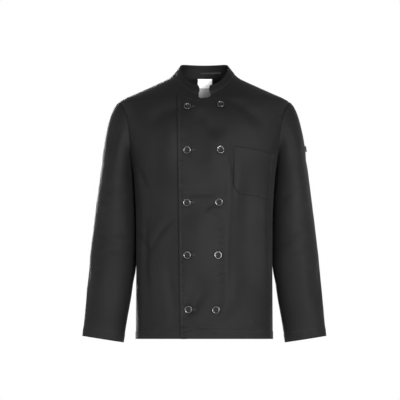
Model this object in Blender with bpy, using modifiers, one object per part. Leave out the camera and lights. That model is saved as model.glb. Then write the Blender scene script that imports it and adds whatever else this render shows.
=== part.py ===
"""Chef jacket in its worn form with no wearer: hollow torso, two hanging sleeves, stand collar.

Lengths below are in millimetres and heights are measured up from the hem; MM and BACK_LENGTH turn
them into the part's frame: metres, +Z up, the front facing -Y, the origin at the middle of the neck
at the height of the nape seam.
"""
import math
from functools import lru_cache

import bpy
import numpy as np
from mathutils import Vector

MM = 0.001

# ---------------------------------------------------------------- driving dimensions
BACK_LENGTH = 740.0        # nape seam down to the hem
SHOULDER_TIP = 664.0       # height of the shoulder point, top of the armhole
UNDERARM = 484.0           # height of the bottom of the armhole
ARMHOLE_FRONT = 62.0       # how far the armhole reaches forward of the side seam
ARMHOLE_BACK = 70.0        # and back of it
NECK_FRONT = 669.0         # height of the neckline at the middle of the front
NECK_HALF_WIDTH = 85.0     # side neck points, where the shoulder seams meet the collar

CLOTH = 1.6                # wall of every panel
COLLAR_CLOTH = 2.0         # the collar is folded double
SEAM_GAP = 0.35            # clearance between sewn pieces
LAP_RAISE = 2.4            # the upper front stands this far off the form, over the under front

LAP_JOIN = 20.0            # where the collar ends, from the middle of the front
UNDER_REACH = 65.0         # the under front's free edge, past the middle
LAP_FADE = (72.0, 190.0)   # the upper front comes back to the form between these, going sideways
LAP_FADE_UP = (664.0, 692.0)  # and between these heights, above the under front's top edge

BUTTON_RADIUS = 10.5
BUTTON_HEIGHT = 3.6

# The torso's level sections, from the hem up to the neck; above the shoulder point (664) the half
# width is that of the shoulder seams.
BODY = {
    "height":      (0, 100, 200, 300, 400, 463, 484, 519, 560, 602, 635, 652, 664, 670, 679, 696, 713, 729, 740),
    "half_width":  (188.8, 188.4, 188.2, 188.4, 192, 197.5, 201, 209, 219.5, 228.5, 234.5, 237, 235, 226, 205,
                    167.5, 130.5, 98, 85),
    "front_depth": (136, 137, 138, 139, 141, 142, 141.5, 140, 134, 122.5, 108, 98, 91, 87.5, 82, 71, 60, 49, 38),
    "back_depth":  (124, 121, 117, 115, 118, 122, 123.5, 125.5, 126, 122.5, 116, 111.5, 108, 106, 102.5, 94,
                    84, 73.5, 65),
    "squareness":  (2.6, 2.6, 2.6, 2.6, 2.6, 2.6, 2.6, 2.55, 2.5, 2.43, 2.36, 2.32, 2.28, 2.26, 2.23, 2.17,
                    2.1, 2.05, 2.0),
}
# Free edge of the upper front, as its distance past the middle.
UPPER_EDGE = {"height": (0, 250, 640, 680), "reach": (66, 68.5, 75.5, 77)}
# Top edge of each lap: past the middle the distance is negative.
UPPER_LAP_TOP = {"along": (-77, -45, -20, 0, 20), "height": (671, 663, 657.5, 662, 672.7)}
UNDER_LAP_TOP = {"along": (-65, -45, -20, 0, 20), "height": (657, 657, 659, 664, 672.7)}

# Sleeve rings from the upper arm to the cuff; the tilt lifts a ring's outer side.
SLEEVE = {
    "height":     (430, 360, 285, 205, 135, 65, -0.5),
    "centre_x":   (248.5, 250.8, 253.6, 257.8, 264.6, 273.3, 281.4),
    "half_width": (45.5, 52.0, 57.6, 62.0, 61.4, 58.2, 56.0),
    "centre_y":   (8, 8, 7, 5, 1, -4, -9),
    "half_depth": (78, 72, 65, 58, 50, 43, 36),
    "tilt":       (14, 12, 10, 9, 9, 9, 9),
}

# Button rows from the top: height, and distance from the middle (the wearer's right is minus).
BUTTON_ROWS = {
    "fastened_height": (633, 513, 370.5, 227, 80),
    "fastened_along": (-46.5, -46.5, -47, -45.5, -43.5),
    "spare_height": (638, 513, 371.5, 227, 78.5),
    "spare_along": (44.5, 43, 39, 36, 30.5),
}

POCKET_START = 80.0        # near edge, along the cloth from the middle of the front
POCKET_WIDTH = 124.0
POCKET_HEIGHT = 126.0
POCKET_TOP = 524.0         # height of the mouth at the near edge
POCKET_SLOPE = 15.0        # the mouth falls this much towards the side
POCKET_CORNER = 19.0       # the two lower corners are cut off by this much
POCKET_CLOTH = 1.3         # pressed thinner than a hanging panel

# Columns and rows of the faceted panels.
ARM_STEPS = 12
SLEEVE_STEPS = 2 * ARM_STEPS
BACK_COLUMNS = 24
LAP_COLUMNS = 4
BODY_COLUMNS = 10

LOW_ROWS = [0.0, 75.0, 150.0, 220.0, 285.0, 345.0, 400.0, 445.0, UNDERARM]
ARM_MIDDLE = 0.5 * (SHOULDER_TIP + UNDERARM)
ARM_HALF = 0.5 * (SHOULDER_TIP - UNDERARM)
ARM_ROWS = [ARM_MIDDLE - ARM_HALF * math.cos(math.pi * k / ARM_STEPS) for k in range(1, ARM_STEPS + 1)]
NECK_ROWS = [680.0, 690.0, 700.0, 710.0, 720.0, 730.0]
FRONT_TOP_ROW = 738.5


# ---------------------------------------------------------------- the form
def smooth(table, key, by, at):
    """Read a column of a table at any place: a cubic through its rows that never overshoots."""
    x = np.array(table[by], float)
    y = np.array(table[key], float)
    if x[0] > x[-1]:
        x, y = x[::-1], y[::-1]
    at = min(max(at, x[0]), x[-1])
    slope = np.diff(y) / np.diff(x)
    tangent = np.concatenate(([slope[0]], 0.5 * (slope[1:] + slope[:-1]), [slope[-1]]))
    for k in range(1, len(x) - 1):
        if slope[k - 1] * slope[k] <= 0.0:
            tangent[k] = 0.0
        else:
            limit = 3.0 * min(abs(slope[k - 1]), abs(slope[k]))
            tangent[k] = math.copysign(min(abs(tangent[k]), limit), tangent[k])
    k = min(int(np.searchsorted(x, at, side="right")) - 1, len(x) - 2)
    width = x[k + 1] - x[k]
    s = (at - x[k]) / width
    return float(
        (2 * s ** 3 - 3 * s ** 2 + 1) * y[k] + (s ** 3 - 2 * s ** 2 + s) * width * tangent[k]
        + (3 * s ** 2 - 2 * s ** 3) * y[k + 1] + (s ** 3 - s ** 2) * width * tangent[k + 1])


def body_value(key, height):
    return smooth(BODY, key, "height", height)


@lru_cache(maxsize=None)
def half_section(height, side):
    """One half of the torso's level section, side -1 for the front and +1 for the back.

    Returns x, y and the length along it, which is zero at the middle and positive towards +X.
    """
    half_width = body_value("half_width", height)
    depth = body_value("front_depth" if side < 0 else "back_depth", height)
    power = body_value("squareness", height)
    angle = np.linspace(-0.5 * math.pi, 0.5 * math.pi, 321)
    across, ahead = np.sin(angle), np.cos(angle)
    reach = (np.abs(across / half_width) ** power + np.abs(ahead / depth) ** power) ** (-1.0 / power)
    x, y = reach * across, side * reach * ahead
    along = np.concatenate(([0.0], np.cumsum(np.hypot(np.diff(x), np.diff(y)))))
    return x, y, along - 0.5 * along[-1]


def form(along, height, side):
    """A point of the form, by its length along the level section and its height."""
    x, y, lengths = half_section(round(height, 4), side)
    return np.array([np.interp(along, lengths, x), np.interp(along, lengths, y), height])


def form_normal(along, height, side):
    """Outward direction of the form there."""
    step = 1.5
    across = form(along + step, height, side) - form(along - step, height, side)
    rise = form(along, height + step, side) - form(along, height - step, side)
    normal = np.cross(across, rise) * -side
    return normal / np.linalg.norm(normal)


def along_at_x(x, height, side):
    xs, _, lengths = half_section(round(height, 4), side)
    return float(np.interp(x, xs, lengths))


def along_at_depth(depth, height, side):
    """Length along the section, on the +X side, to where the form is this far from the side seam."""
    _, y, lengths = half_section(round(height, 4), side)
    far = lengths >= 0.0
    return float(np.interp(depth, np.abs(y[far])[::-1], lengths[far][::-1]))


def armhole_depth(height, side):
    """Half an ellipse: how far the armhole's line lies from the side seam at this height."""
    reach = ARMHOLE_FRONT if side < 0 else ARMHOLE_BACK
    rise = min(abs(height - ARM_MIDDLE) / ARM_HALF, 1.0)
    return reach * math.sqrt(1.0 - rise ** 2)


def panel_side(height, side):
    """Where a panel ends towards +X: side seam, armhole or shoulder seam."""
    depth = 0.5 * SEAM_GAP
    if UNDERARM < height < SHOULDER_TIP:
        depth = max(depth, armhole_depth(height, side))
    return along_at_depth(depth, height, side)


def neckline_x(height):
    """The front neckline is a parabola from the front."""
    return NECK_HALF_WIDTH * math.sqrt((height - NECK_FRONT) / (BACK_LENGTH - NECK_FRONT))


def fade(value, start, stop):
    s = min(max((value - start) / (stop - start), 0.0), 1.0)
    return s * s * (3.0 - 2.0 * s)


# ---------------------------------------------------------------- meshes and materials
jacket = None


def to_frame(point):
    return (point[0] * MM, point[1] * MM, (point[2] - BACK_LENGTH) * MM)


def material(name, colour, roughness):
    made = bpy.data.materials.new(name)
    made.use_nodes = True
    shader = made.node_tree.nodes["Principled BSDF"]
    shader.inputs["Base Color"].default_value = (*colour, 1.0)
    shader.inputs["Roughness"].default_value = roughness
    shader.inputs["Metallic"].default_value = 0.0
    return made


def surface_object(name, points, faces, finish):
    mesh = bpy.data.meshes.new(name)
    mesh.from_pydata([to_frame(p) for p in points], [], faces)
    mesh.validate()
    mesh.shade_smooth()
    mesh.materials.append(material(name + "_finish", *finish))
    made = bpy.data.objects.new(name, mesh)
    jacket.objects.link(made)
    return made


def shell(made, thickness):
    """Give an open surface its wall, on the side its normals point to."""
    wall = made.modifiers.new("wall", "SOLIDIFY")
    wall.thickness = thickness * MM
    wall.offset = 1.0
    wall.use_rim = True


def grid_faces(rows, columns, flip=False, wrap=False):
    """Quads between rows of equal length; wrap closes each row into a ring."""
    faces = []
    for r in range(rows - 1):
        for c in range(columns if wrap else columns - 1):
            right = (c + 1) % columns
            quad = (r * columns + c, r * columns + right, (r + 1) * columns + right, (r + 1) * columns + c)
            faces.append(quad[::-1] if flip else quad)
    return faces


# ---------------------------------------------------------------- pieces
BLACK = ((0.022, 0.022, 0.023), 0.82)
PLASTIC = ((0.03, 0.03, 0.032), 0.35)
WHITE = ((0.75, 0.75, 0.74), 0.7)
GREY = ((0.35, 0.35, 0.35), 0.7)
CHARCOAL = ((0.05, 0.05, 0.052), 0.8)


def make_back():
    rows = LOW_ROWS + ARM_ROWS + NECK_ROWS + [BACK_LENGTH]
    points = []
    for height in rows:
        end = panel_side(height, 1)
        points += [form(along, height, 1) for along in np.linspace(-end, end, BACK_COLUMNS + 1)]
    made = surface_object("back", points, grid_faces(len(rows), BACK_COLUMNS + 1, flip=True), BLACK)
    shell(made, CLOTH)


def front_point(along, height, hand):
    """A point of a front in its own hand: +1 is the wearer's left, the upper front."""
    point = form(along, height, -1)
    if hand > 0:
        lift = LAP_RAISE * (1.0 - fade(along, *LAP_FADE)) * (1.0 - fade(height, *LAP_FADE_UP))
        point = point + lift * form_normal(along, height, -1)
    point[0] *= hand
    return point


def lap_height(along, row, hand):
    """Rows near the neck bend so that the last one is the top edge of the lap."""
    top = UPPER_LAP_TOP if hand > 0 else UNDER_LAP_TOP
    lift = smooth(top, "height", "along", along) - SHOULDER_TIP
    beyond = 1.0 - fade(along, LAP_JOIN, LAP_JOIN + 60.0)
    return row + lift * beyond * fade(row, ARM_MIDDLE, SHOULDER_TIP)


def free_edge(row, hand):
    return -smooth(UPPER_EDGE, "reach", "height", row) if hand > 0 else -UNDER_REACH


def make_front(name, hand):
    """A lap past the middle and a body to the side; above the shoulder point only the body goes on."""
    low_rows = LOW_ROWS + ARM_ROWS
    high_rows = NECK_ROWS + [FRONT_TOP_ROW]
    columns = LAP_COLUMNS + BODY_COLUMNS + 1
    points = []
    for row in low_rows:
        lap = np.linspace(free_edge(row, hand), LAP_JOIN, LAP_COLUMNS + 1)
        body = np.linspace(LAP_JOIN, panel_side(row, -1), BODY_COLUMNS + 1)
        for along in [*lap[:-1], *body]:
            points.append(front_point(along, lap_height(along, row, hand), hand))
    faces = grid_faces(len(low_rows), columns, flip=hand < 0)
    below = (len(low_rows) - 1) * columns + LAP_COLUMNS
    for row in high_rows:
        start = along_at_x(neckline_x(row), row, -1)
        base = len(points)
        for along in np.linspace(start, panel_side(row, -1), BODY_COLUMNS + 1):
            points.append(front_point(along, row, hand))
        for c in range(BODY_COLUMNS):
            quad = (below + c, below + c + 1, base + c + 1, base + c)
            faces.append(quad[::-1] if hand < 0 else quad)
        below = base
    made = surface_object(name, points, faces, BLACK)
    shell(made, CLOTH)


# The collar's top edge: an oval inside the neckline's own.
COLLAR_TOP_HALF_WIDTH = 69.0
COLLAR_TOP_FRONT = 80.0
COLLAR_TOP_BACK = 61.0
COLLAR_TOP_HEIGHT = {"front": 700.0, "side": 758.0, "back": 775.5}
COLLAR_LIFT = 1.1          # clearance of the collar's foot along its own rise
COLLAR_END_BULGE = 6.0     # the front ends are rounded and reach this much further at mid height
COLLAR_ROWS = 4


def seam_point(turn):
    """The neck seam, by the angle round the neck: 0 at the front, +-90 the sides, 180 the back."""
    across = math.sin(turn)
    hand = 1 if across >= 0 else -1
    if math.cos(turn) >= 0.0:
        height = NECK_FRONT + (BACK_LENGTH - NECK_FRONT) * across ** 2
        along = along_at_x(abs(across) * NECK_HALF_WIDTH, height, -1)
        return front_point(along, height, hand)
    return form(along_at_x(across * NECK_HALF_WIDTH, BACK_LENGTH, 1), BACK_LENGTH, 1)


def collar_top(turn):
    across, ahead = math.sin(turn), math.cos(turn)
    heights = COLLAR_TOP_HEIGHT
    if ahead >= 0.0:
        height = heights["front"] + (heights["side"] - heights["front"]) * abs(across) ** 3
        return np.array([COLLAR_TOP_HALF_WIDTH * across, -COLLAR_TOP_FRONT * ahead, height])
    height = heights["side"] + (heights["back"] - heights["side"]) * ahead ** 2
    return np.array([COLLAR_TOP_HALF_WIDTH * across, -COLLAR_TOP_BACK * ahead, height])


def collar_point(turn, rise):
    """A point of the collar's inner face; rise runs from 0 at the seam to 1 at the top edge."""
    foot, top = seam_point(turn), collar_top(turn)
    up = (top - foot) / np.linalg.norm(top - foot)
    return foot + up * COLLAR_LIFT + (top - foot - up * COLLAR_LIFT) * rise


def collar_turns():
    """Angles at the neckline's own corners, so that the facets of collar and panels match."""
    corners = [math.asin(neckline_x(row) / NECK_HALF_WIDTH) for row in NECK_ROWS + [FRONT_TOP_ROW]]
    end = math.asin(LAP_JOIN / NECK_HALF_WIDTH)
    right = [end] + corners
    width = panel_side(BACK_LENGTH, 1)
    nape = [form(s, BACK_LENGTH, 1)[0] for s in np.linspace(-width, width, BACK_COLUMNS + 1)]
    back = [math.pi - math.asin(max(-1.0, min(1.0, x / NECK_HALF_WIDTH))) for x in nape[::-1]]
    left = [2.0 * math.pi - turn for turn in right[::-1]]
    return right + back[1:-1] + left


def make_collar():
    turns = collar_turns()
    bulge = COLLAR_END_BULGE / NECK_HALF_WIDTH
    points = []
    for k in range(COLLAR_ROWS + 1):
        rise = k / COLLAR_ROWS
        swell = bulge * (1.0 - (2.0 * rise - 1.0) ** 2)
        row = [turns[0] - swell] + turns[1:-1] + [turns[-1] + swell]
        points += [collar_point(turn, rise) for turn in row]
    faces = grid_faces(COLLAR_ROWS + 1, len(turns))
    made = surface_object("collar", points, faces, BLACK)
    shell(made, COLLAR_CLOTH)


def armhole_ring():
    """Points of the armhole seam on the +X side, from the shoulder point round by the front."""
    points = []
    for k in range(SLEEVE_STEPS):
        turn = 2.0 * math.pi * k / SLEEVE_STEPS
        side = -1 if k <= ARM_STEPS else 1
        height = ARM_MIDDLE + ARM_HALF * math.cos(turn)
        along = along_at_depth(armhole_depth(height, side), height, side)
        points.append((form(along, height, side), form_normal(along, height, side)))
    return points


def sleeve_ring(row):
    """One ring of the sleeve: a tilted oval."""
    value = {key: column[row] for key, column in SLEEVE.items()}
    tilt = math.radians(value["tilt"])
    ring = []
    for k in range(SLEEVE_STEPS):
        turn = 2.0 * math.pi * k / SLEEVE_STEPS
        out = value["half_width"] * math.cos(turn)
        ring.append(np.array([
            value["centre_x"] + out * math.cos(tilt),
            value["centre_y"] - value["half_depth"] * math.sin(turn),
            value["height"] + out * math.sin(tilt)]))
    return ring


CAP_RINGS = 8
SLEEVE_GAP = 0.6           # a little more than a flat seam, because the cloth turns there


def sleeve_cap():
    """Rings from the armhole to the upper arm, each point on its own cubic."""
    seam = armhole_ring()
    target = sleeve_ring(0)
    centre = np.mean([p for p, _ in seam], axis=0)
    starts, leaves, arrives = [], [], []
    for k, (point, normal) in enumerate(seam):
        turn = 2.0 * math.pi * k / SLEEVE_STEPS
        span = np.linalg.norm(target[k] - point)
        leave = np.array([1.0, 0.0, -0.36 * max(0.0, math.cos(turn))])
        leave /= np.linalg.norm(leave)
        round_seam = seam[(k + 1) % SLEEVE_STEPS][0] - seam[k - 1][0]
        outward = np.cross(leave, round_seam)
        outward /= np.linalg.norm(outward)
        if np.dot(outward, point - centre) < 0.0:
            outward = -outward
        towards_panel = point - centre
        towards_panel -= normal * np.dot(towards_panel, normal)
        towards_panel /= np.linalg.norm(towards_panel)
        clear = SLEEVE_GAP + CLOTH * max(0.0, float(np.dot(outward, towards_panel)))
        starts.append(point - towards_panel * clear)
        leaves.append(leave * max(40.0, 0.45 * span))
        arrives.append(np.array([0.1, 0.0, -1.0]) * 1.08 * span)
    rings = []
    for r in range(CAP_RINGS):
        s = (r / CAP_RINGS) ** 1.5
        rings.append([
            (2 * s ** 3 - 3 * s ** 2 + 1) * starts[k] + (s ** 3 - 2 * s ** 2 + s) * leaves[k]
            + (3 * s ** 2 - 2 * s ** 3) * target[k] + (s ** 3 - s ** 2) * arrives[k]
            for k in range(SLEEVE_STEPS)])
    return rings


def make_sleeve(name, hand):
    rings = sleeve_cap() + [sleeve_ring(row) for row in range(len(SLEEVE["height"]))]
    points = [np.array([p[0] * hand, p[1], p[2]]) for ring in rings for p in ring]
    faces = grid_faces(len(rings), SLEEVE_STEPS, flip=hand < 0, wrap=True)
    made = surface_object(name, points, faces, BLACK)
    shell(made, CLOTH)


POCKET_COLUMNS = 9
POCKET_ROWS = 8
ON_PANEL = CLOTH + 0.8     # what lies on a panel starts this far off the panel's inner face


def on_upper_front(along, height, off):
    return front_point(along, height, 1) + off * form_normal(along, height, -1)


def make_pocket():
    """A patch cut with two lower corners off, made from the panel's own points, moved out."""
    points = []
    for r in range(POCKET_ROWS + 1):
        drop = POCKET_HEIGHT * r / POCKET_ROWS
        cut = max(0.0, drop - (POCKET_HEIGHT - POCKET_CORNER))
        for c in range(POCKET_COLUMNS + 1):
            across = cut + (POCKET_WIDTH - 2.0 * cut) * c / POCKET_COLUMNS
            top = POCKET_TOP - POCKET_SLOPE * across / POCKET_WIDTH
            points.append(on_upper_front(POCKET_START + across, top - drop, ON_PANEL))
    made = surface_object("pocket", points, grid_faces(POCKET_ROWS + 1, POCKET_COLUMNS + 1, flip=True), BLACK)
    shell(made, POCKET_CLOTH)


def button_profile():
    """Half outline from the top's middle, over the rim, down the side and back under."""
    r, h = BUTTON_RADIUS, BUTTON_HEIGHT
    return [(0.0, h - 1.3), (0.55 * r, h - 1.2), (0.74 * r, h - 0.2), (0.88 * r, h),
            (0.985 * r, 0.68 * h), (r, 0.42 * h), (0.86 * r, 0.08 * h), (0.7 * r, 0.0), (0.0, 0.0)]


BUTTON_OFF = CLOTH + 0.5   # a button's underside, off the panel's inner face


def make_buttons():
    outline = button_profile()
    mesh = bpy.data.meshes.new("button_outline")
    mesh.from_pydata([(r * MM, 0.0, z * MM) for r, z in outline], [(k, k + 1) for k in range(len(outline) - 1)], [])
    for column in ("fastened", "spare"):
        places = zip(BUTTON_ROWS[column + "_along"], BUTTON_ROWS[column + "_height"])
        for row, (along, height) in enumerate(places, start=1):
            name = f"button_{column}_{row}"
            made = bpy.data.objects.new(name, mesh.copy())
            made.data.materials.append(material(name + "_finish", *PLASTIC))
            jacket.objects.link(made)
            turn = made.modifiers.new("turned", "SCREW")
            turn.angle = 2.0 * math.pi
            turn.steps = 20
            turn.render_steps = 20
            turn.use_merge_vertices = True
            turn.merge_threshold = 0.00001
            turn.use_smooth_shade = True
            made.location = to_frame(on_upper_front(along, height, BUTTON_OFF))
            facing = Vector(form_normal(along, height, -1))
            made.rotation_euler = facing.to_track_quat("Z", "Y").to_euler()
    bpy.data.meshes.remove(mesh)


LABEL_CLOTH = 1.0
LABEL_GAP = 0.75
LOOP_GAP = 0.8
LABELS = {
    # name: x from, x to, top height, bottom height, steps across, steps down, finish
    "label_main": (-18.5, 22.5, 739.0, 714.5, 4, 3, WHITE),
    "label_lower": (-15.5, 19.5, 713.0, 686.0, 4, 3, GREY),
}


def make_labels():
    """Tapes on the inner face of the back, under the nape seam."""
    for name, (left, right, top, bottom, across, down, finish) in LABELS.items():
        points = []
        for height in np.linspace(top, bottom, down + 1):
            for x in np.linspace(left, right, across + 1):
                along = along_at_x(x, height, 1)
                inward = form_normal(along, height, 1) * -(LABEL_GAP + LABEL_CLOTH)
                points.append(form(along, height, 1) + inward)
        made = surface_object(name, points, grid_faces(down + 1, across + 1), finish)
        shell(made, LABEL_CLOTH)


LOOP_FROM = -11.0
LOOP_TO = 51.0
LOOP_RISE = (0.30, 0.44)   # band of the collar's height that the tape covers


def make_hanger_loop():
    """A flat tape along the inside of the back of the collar."""
    turns = [math.pi - math.asin(x / NECK_HALF_WIDTH) for x in np.linspace(LOOP_FROM, LOOP_TO, 11)]
    inner = LOOP_GAP + LABEL_CLOTH
    points = []
    for rise in LOOP_RISE:
        for turn in turns:
            point = collar_point(turn, rise)
            towards_neck = np.array([-point[0] / NECK_HALF_WIDTH, -1.0, 0.0])
            points.append(point + inner * towards_neck / np.linalg.norm(towards_neck))
    made = surface_object("hanger_loop", points, grid_faces(2, len(turns), flip=True), BLACK)
    shell(made, LABEL_CLOTH)


TAB_HEIGHT = 532.0
TAB_LENGTH = 17.0
TAB_REACH = 3.6
TAB_THICKNESS = 1.8


def make_sleeve_tab():
    """A folded tape end that stands out of the outer line of the wearer's left sleeve."""
    rings = sleeve_cap() + [sleeve_ring(0)]
    line = sorted(((ring[0][2], ring[0][0], ring[0][1]) for ring in rings))
    heights = [p[0] for p in line]
    x = float(np.interp(TAB_HEIGHT, heights, [p[1] for p in line]))
    y = float(np.interp(TAB_HEIGHT, heights, [p[2] for p in line]))
    lean = math.atan2(x - np.interp(TAB_HEIGHT + 20.0, heights, [p[1] for p in line]), 20.0)
    bpy.ops.mesh.primitive_cube_add(size=1.0)
    made = bpy.context.active_object
    made.name = "sleeve_tab"
    made.data.name = "sleeve_tab"
    for collection in list(made.users_collection):
        collection.objects.unlink(made)
    jacket.objects.link(made)
    for vertex in made.data.vertices:
        vertex.co.x *= TAB_REACH * MM
        vertex.co.y *= TAB_THICKNESS * MM
        vertex.co.z *= TAB_LENGTH * MM
    made.data.materials.append(material("sleeve_tab_finish", *CHARCOAL))
    out = CLOTH + SEAM_GAP + 0.5 * TAB_REACH
    made.location = to_frame((x + out / math.cos(lean), y, TAB_HEIGHT))
    made.rotation_euler = (0.0, -lean, 0.0)
    rounding = made.modifiers.new("rounded", "BEVEL")
    rounding.width = 0.5 * MM
    rounding.segments = 2


def main():
    global jacket
    for old in list(bpy.data.objects):
        bpy.data.objects.remove(old, do_unlink=True)
    jacket = bpy.data.collections.new("chef_jacket")
    bpy.context.scene.collection.children.link(jacket)
    make_back()
    make_front("front_under", -1)
    make_front("front_upper", 1)
    make_collar()
    make_sleeve("sleeve_right", -1)
    make_sleeve("sleeve_left", 1)
    make_pocket()
    make_buttons()
    make_labels()
    make_hanger_loop()
    make_sleeve_tab()


main()
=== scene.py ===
# %% [markdown]
# # A chef jacket, worn but with no wearer
# The frame holds the jacket's plain solids at their real size. This lesson puts cloth, stitching and
# buttons round them. Lengths are in millimetres while a piece is worked out, and become metres when
# its mesh is made.

# %% Load the frame
import math

import bpy
import numpy as np
from mathutils import Matrix, Vector
from mathutils.bvhtree import BVHTree


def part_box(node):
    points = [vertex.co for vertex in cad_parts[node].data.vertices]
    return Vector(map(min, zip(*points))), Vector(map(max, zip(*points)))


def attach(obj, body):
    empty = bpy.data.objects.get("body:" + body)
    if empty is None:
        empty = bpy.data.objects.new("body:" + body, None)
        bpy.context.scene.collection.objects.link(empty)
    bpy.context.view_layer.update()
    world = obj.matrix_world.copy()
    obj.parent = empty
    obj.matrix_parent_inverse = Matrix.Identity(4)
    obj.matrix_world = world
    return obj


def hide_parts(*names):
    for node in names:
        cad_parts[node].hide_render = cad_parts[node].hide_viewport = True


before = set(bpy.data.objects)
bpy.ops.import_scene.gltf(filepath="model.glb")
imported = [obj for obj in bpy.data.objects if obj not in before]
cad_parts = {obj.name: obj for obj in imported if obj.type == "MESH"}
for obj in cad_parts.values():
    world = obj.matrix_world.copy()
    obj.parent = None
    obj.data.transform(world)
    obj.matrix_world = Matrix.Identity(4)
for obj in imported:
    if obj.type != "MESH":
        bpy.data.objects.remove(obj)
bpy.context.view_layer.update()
bpy.ops.object.select_all(action="DESELECT")
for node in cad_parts.values():
    node.select_set(False)

MM = 0.001
NAPE = 740.0               # height of the nape seam over the hem; the frame's origin is there

# %% [markdown]
# ## Camera and light
# The camera stands as low as the hem, five metres away, and looks up a little with a long lens, so
# the hem shows as a straight line and the inside of the back collar shows over the front one.

# %% Camera
CAMERA_AWAY = 5000.0
CAMERA_SIDE = -12.0
FIELD = 1120.0             # width of the picture where the jacket hangs
AIM_HEIGHT = 388.0         # the middle of the picture, over the hem
SENSOR = 36.0

eye = Vector((CAMERA_SIDE, -CAMERA_AWAY, -NAPE)) * MM
aim = Vector((CAMERA_SIDE, 0.0, AIM_HEIGHT - NAPE)) * MM
camera_data = bpy.data.cameras.new("camera")
camera_data.sensor_width = SENSOR
camera_data.lens = SENSOR * (aim - eye).length / (FIELD * MM)
camera = bpy.data.objects.new("camera", camera_data)
camera.location = eye
camera.rotation_euler = (aim - eye).to_track_quat("-Z", "Y").to_euler()
bpy.context.scene.collection.objects.link(camera)
bpy.context.scene.camera = camera
print("lens", round(camera_data.lens, 1))

# %% Lights
LIGHTS = [
    # name, place in metres, where it points, width, height, power in watts
    ("key", (1.5, -3.7, 0.1), (0.0, 0.0, -0.36), 1.1, 1.1, 360.0),
    ("fill", (-2.2, -3.5, -0.7), (0.0, 0.0, -0.4), 1.6, 1.8, 110.0),
    ("left_edge", (-3.2, -0.9, -0.5), (0.0, 0.0, -0.5), 0.9, 2.0, 36.0),
    ("right_edge", (3.2, -0.9, -0.5), (0.0, 0.0, -0.5), 0.9, 2.0, 30.0),
    ("back", (-0.8, 3.6, 0.6), (0.0, 0.0, -0.35), 2.4, 2.0, 300.0),
]
for name, place, towards, width, height, power in LIGHTS:
    bpy.ops.object.light_add(type="AREA", location=place)
    light = bpy.context.active_object
    light.name = name
    light.data.shape = "RECTANGLE"
    light.data.size = width
    light.data.size_y = height
    light.data.energy = power
    light.rotation_euler = (Vector(towards) - Vector(place)).to_track_quat("-Z", "Y").to_euler()

# %% [markdown]
# A studio's white paper stands all round. It looks white, and gives the jacket a weak, even light. Over
# it is the dark ceiling, so that what faces up, such as a shoulder, gets less.

# %% Studio paper
CEILING = 0.25
world = bpy.data.worlds.new("studio")
world.use_nodes = True
world_tree = world.node_tree
direction = world_tree.nodes.new("ShaderNodeTexCoord")
split = world_tree.nodes.new("ShaderNodeSeparateXYZ")
ceiling = world_tree.nodes.new("ShaderNodeValToRGB")
ceiling.color_ramp.elements[0].position = 0.22
ceiling.color_ramp.elements[0].color = (1.0, 1.0, 1.0, 1.0)
ceiling.color_ramp.elements[1].position = 0.60
ceiling.color_ramp.elements[1].color = (CEILING, CEILING, CEILING, 1.0)
world_tree.links.new(direction.outputs["Generated"], split.inputs[0])
world_tree.links.new(split.outputs["Z"], ceiling.inputs["Fac"])
world_tree.links.new(ceiling.outputs["Color"], world_tree.nodes["Background"].inputs["Color"])
world_tree.nodes["Background"].inputs["Strength"].default_value = 1.0
bpy.context.scene.view_settings.view_transform = "Standard"
bpy.context.scene.world = world

# %% [markdown]
# ## The form under the cloth
# A body's level section is a rounded oval. Every cloth piece is read from one table of such ovals,
# by the length along the oval and the height, so that neighbours meet without any fitting.

# %% The table of the torso, and how it is read
SHOULDER_TIP = 664.0
UNDERARM = 484.0
ARM_MIDDLE = 0.5 * (SHOULDER_TIP + UNDERARM)
ARM_HALF = 0.5 * (SHOULDER_TIP - UNDERARM)
ARMHOLE_FRONT = 62.0
ARMHOLE_BACK = 70.0
NECK_FRONT = 669.0
NECK_HALF_WIDTH = 85.0
CLOTH = 1.6
SEAM = 0.12                # what is left open between two sewn panels
LAP_RAISE = 2.4
LAP_FADE = (68.0, 190.0)
LAP_FADE_UP = (664.0, 692.0)

BODY = {
    "height":      (0, 100, 200, 300, 400, 463, 484, 519, 560, 602, 635, 652, 664, 670, 679, 696, 713, 729, 740),
    "half_width":  (188.8, 188.4, 188.2, 188.4, 192, 197.5, 201, 209, 219.5, 228.5, 234.5, 237, 235, 226, 205,
                    167.5, 130.5, 98, 85),
    "front_depth": (136, 137, 138, 139, 141, 142, 141.5, 140, 134, 122.5, 108, 98, 91, 87.5, 82, 71, 60, 49, 38),
    "back_depth":  (124, 121, 117, 115, 118, 122, 123.5, 125.5, 126, 122.5, 116, 111.5, 108, 106, 102.5, 94,
                    84, 73.5, 65),
    "squareness":  (2.6, 2.6, 2.6, 2.6, 2.6, 2.6, 2.6, 2.55, 2.5, 2.43, 2.36, 2.32, 2.28, 2.26, 2.23, 2.17,
                    2.1, 2.05, 2.0),
}
FRONT, BACK = -1, 1


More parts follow.
